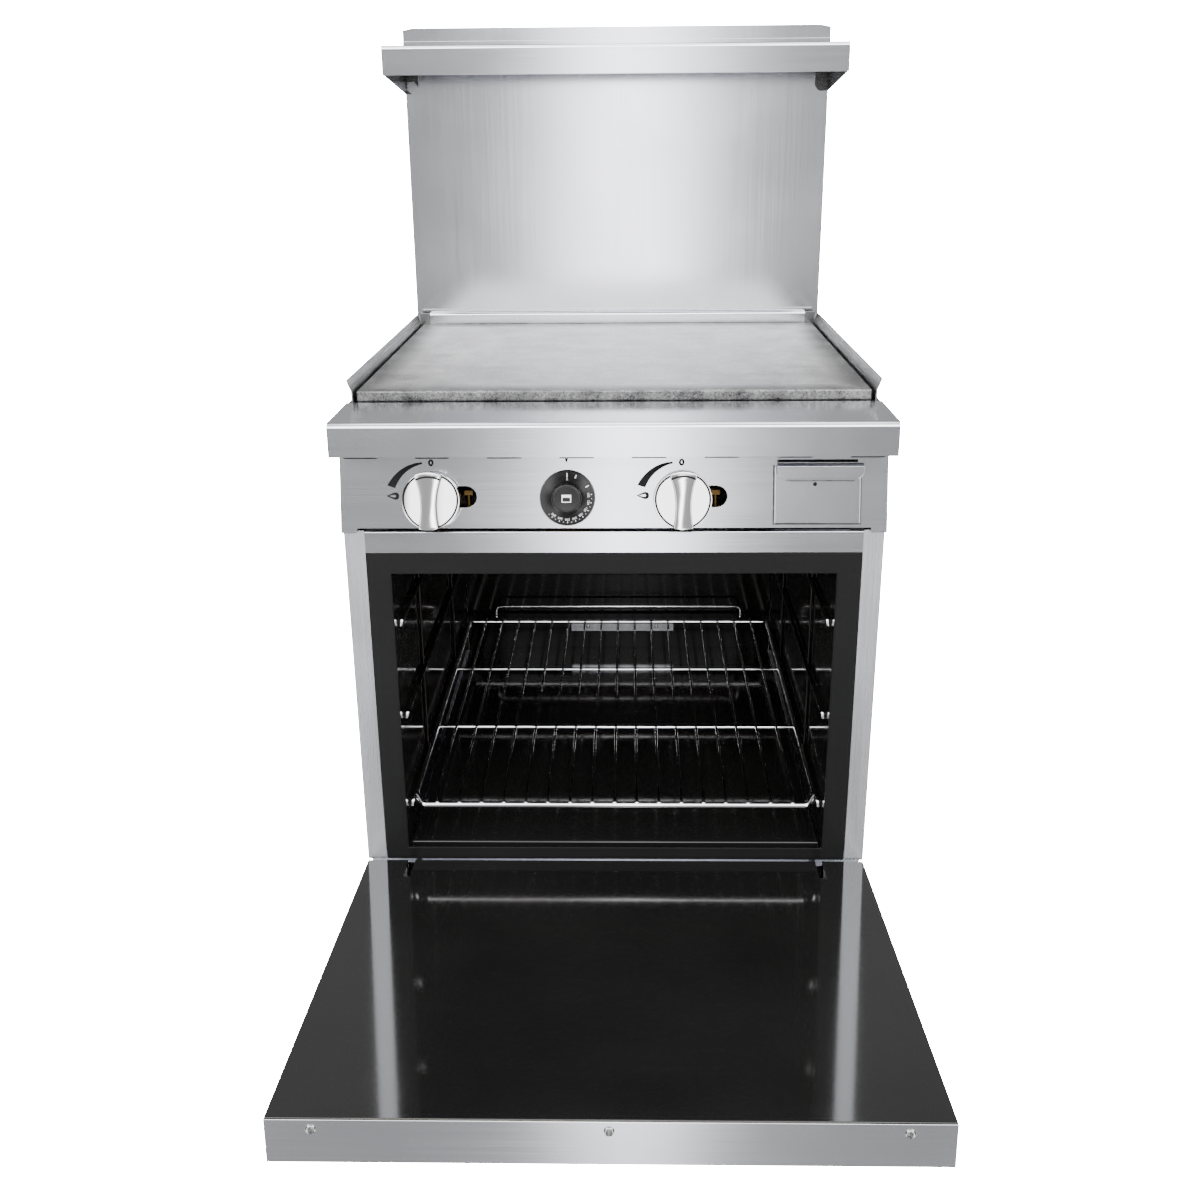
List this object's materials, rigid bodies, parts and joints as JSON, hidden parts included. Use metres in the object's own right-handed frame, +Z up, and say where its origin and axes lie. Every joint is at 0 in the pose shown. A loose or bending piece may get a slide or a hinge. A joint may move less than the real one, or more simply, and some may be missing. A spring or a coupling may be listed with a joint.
{
  "type": "commercial gas range",
  "caption": "Free-standing gas range on legs: griddle top over an oven with a drop-down door, slanted control panel, grease drawer, backguard and high shelf.",
  "frame": {"origin": "centre of the bounding box of the whole range with its door open, on the floor under the feet", "axes": "+Z up, -Y out of the front towards the cook, +X to the cook's right; the door lies open at rest"},
  "size_m": [0.6096, 1.2318, 1.357],
  "materials": {
    "stainless": "satin stainless sheet, fine horizontal grain",
    "black_enamel": "glossy black vitreous enamel on steel",
    "chrome": "polished chrome plate",
    "ground_steel": "ground and faintly mottled steel plate",
    "galvanised": "galvanised sheet with a soft spangle",
    "cast_iron": "black cast iron and black pipe",
    "brass": "machined brass",
    "black_plastic": "moulded black heat-proof plastic, satin",
    "mineral_wool": "yellow mineral wool"
  },
  "bodies": {
    "range_body": {"side_panel_left": "stainless", "side_panel_right": "stainless", "kick_plate": "stainless", "header_rail": "stainless", "bulb_bracket": "stainless", "control_panel": "stainless", "landing_ledge": "stainless", "griddle_splash_left": "stainless", "griddle_splash_right": "stainless", "griddle_splash_rear": "stainless", "grease_trough": "stainless", "grease_chute": "stainless", "backguard_front": "stainless", "backguard_back": "stainless", "high_shelf": "stainless", "shelf_bracket_left": "stainless", "shelf_bracket_right": "stainless", "leg_front_left": "stainless", "leg_front_right": "stainless", "leg_rear_left": "stainless", "leg_rear_right": "stainless", "back_panel": "galvanised", "base_pan": "galvanised", "flue_duct": "galvanised", "hinge_bracket_left": "galvanised", "hinge_bracket_right": "galvanised", "oven_front_frame": "black_enamel", "oven_side_left": "black_enamel", "oven_side_right": "black_enamel", "oven_top": "black_enamel", "oven_back": "black_enamel", "oven_floor": "black_enamel", "rack_guide_left": "chrome", "rack_guide_right": "chrome", "griddle_plate": "ground_steel", "griddle_valve_left": "brass", "griddle_valve_right": "brass", "oven_thermostat": "brass", "griddle_pilot_left": "brass", "griddle_pilot_right": "brass", "gas_manifold": "cast_iron", "griddle_burner_left": "cast_iron", "griddle_burner_right": "cast_iron", "oven_burner": "cast_iron", "oven_insulation": "mineral_wool"},
    "oven_door": {"door_shell": "stainless", "door_inner_panel": "black_enamel", "door_handle": "stainless", "door_hinge_left": "galvanised", "door_hinge_right": "galvanised", "door_insulation": "mineral_wool"},
    "knob_left": {"knob_left": "chrome"},
    "knob_right": {"knob_right": "chrome"},
    "oven_dial": {"oven_dial": "black_plastic"},
    "oven_rack": {"oven_rack": "chrome"},
    "grease_drawer": {"grease_drawer": "stainless"},
    "foot_front_left": {"foot_front_left": "stainless"},
    "foot_front_right": {"foot_front_right": "stainless"},
    "foot_rear_left": {"foot_rear_left": "stainless"},
    "foot_rear_right": {"foot_rear_right": "stainless"}
  },
  "joints": [
    {"name": "door_hinge", "type": "hinge", "parent": "range_body", "child": "oven_door", "pos_m": [0, -0.15909, 0.33806], "axis": [1, 0, 0], "range_deg": [-86, 0]},
    {"name": "knob_left_turn", "type": "hinge", "parent": "range_body", "child": "knob_left", "pos_m": [-0.2015, -0.12207, 0.83405], "axis": [0, -0.9744, 0.225], "range_deg": [0, 90]},
    {"name": "knob_right_turn", "type": "hinge", "parent": "range_body", "child": "knob_right", "pos_m": [0.0773, -0.12207, 0.83405], "axis": [0, -0.9744, 0.225], "range_deg": [0, 90]},
    {"name": "dial_turn", "type": "hinge", "parent": "range_body", "child": "oven_dial", "pos_m": [-0.0505, -0.12151, 0.83649], "axis": [0, -0.9744, 0.225], "range_deg": [0, 225]},
    {"name": "rack_slide", "type": "slide", "parent": "range_body", "child": "oven_rack", "axis": [0, -1, 0], "range_m": [0, 0.4]},
    {"name": "drawer_slide", "type": "slide", "parent": "range_body", "child": "grease_drawer", "axis": [0, -1, 0], "range_m": [0, 0.15]},
    {"name": "foot_front_left_adjust", "type": "slide", "parent": "range_body", "child": "foot_front_left", "axis": [0, 0, -1], "range_m": [0, 0.025]},
    {"name": "foot_front_right_adjust", "type": "slide", "parent": "range_body", "child": "foot_front_right", "axis": [0, 0, -1], "range_m": [0, 0.025]},
    {"name": "foot_rear_left_adjust", "type": "slide", "parent": "range_body", "child": "foot_rear_left", "axis": [0, 0, -1], "range_m": [0, 0.025]},
    {"name": "foot_rear_right_adjust", "type": "slide", "parent": "range_body", "child": "foot_rear_right", "axis": [0, 0, -1], "range_m": [0, 0.025]}
  ]
}
